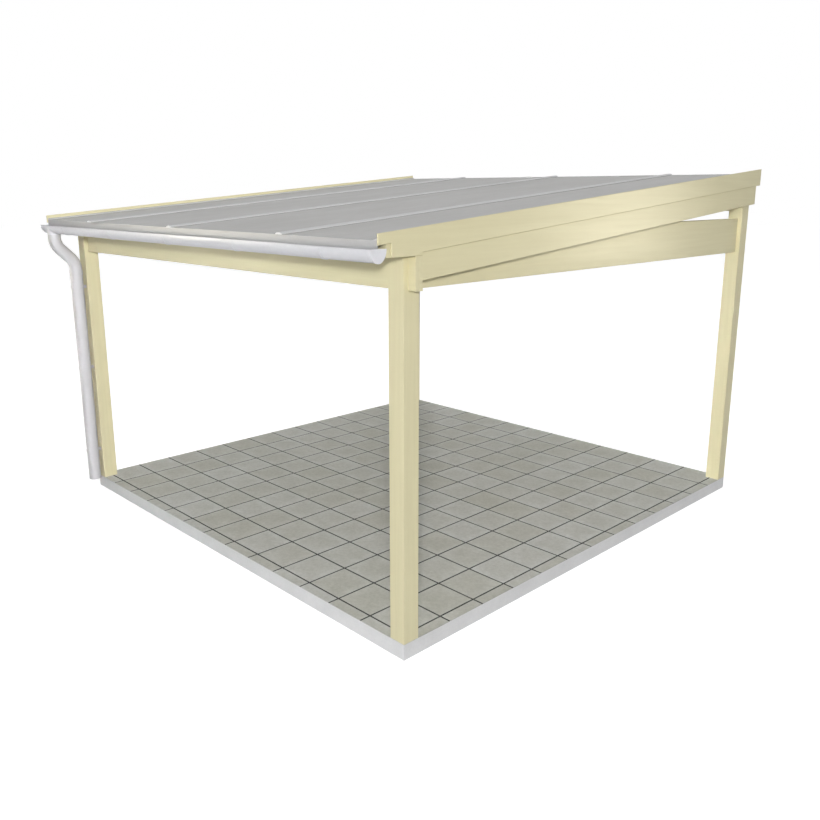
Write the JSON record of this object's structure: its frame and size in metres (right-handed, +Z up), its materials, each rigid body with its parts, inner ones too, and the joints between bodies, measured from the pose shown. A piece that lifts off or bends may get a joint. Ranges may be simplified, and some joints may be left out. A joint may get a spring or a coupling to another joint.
{
  "type": "veranda frame",
  "caption": "Open lean-to veranda frame: painted timber posts, beams and rafters on a tiled slab, sheet roof with glazing bars, front gutter and swan-neck downpipe.",
  "frame": {"origin": "middle of the slab's underside, on the ground", "axes": "+Z up, -Y towards the low front side with the gutter, +Y towards the high back, +X to the right seen from the front"},
  "size_m": [4.116, 4.3211, 2.7844],
  "materials": {
    "timber": "satin",
    "sheet": "matte",
    "seal": "matte",
    "bar": "satin",
    "rainware": "satin",
    "slab": "matte"
  },
  "bodies": {
    "root": {"bar_ends": "rainware", "downpipe": "rainware", "floor_slab": "slab", "front_beam": "timber", "front_left_post": "timber", "front_profile": "bar", "front_right_post": "timber", "gutter": "rainware", "gutter_board": "timber", "gutter_brackets": "rainware", "gutter_caps": "rainware", "gutter_outlet": "rainware", "left_bar": "bar", "left_barge_board": "timber", "left_edge_bar": "bar", "left_edge_rafter": "timber", "left_inner_sheet": "sheet", "left_outer_sheet": "sheet", "left_rafter": "timber", "left_side_beam": "timber", "middle_bar": "bar", "middle_rafter": "timber", "pipe_clips": "rainware", "rear_beam": "timber", "rear_left_post": "timber", "rear_profile": "bar", "rear_right_post": "timber", "right_bar": "bar", "right_barge_board": "timber", "right_edge_bar": "bar", "right_edge_rafter": "timber", "right_inner_sheet": "sheet", "right_outer_sheet": "sheet", "right_rafter": "timber", "right_side_beam": "timber", "sheet_seals": "seal", "swan_neck": "rainware"}
  },
  "joints": []
}
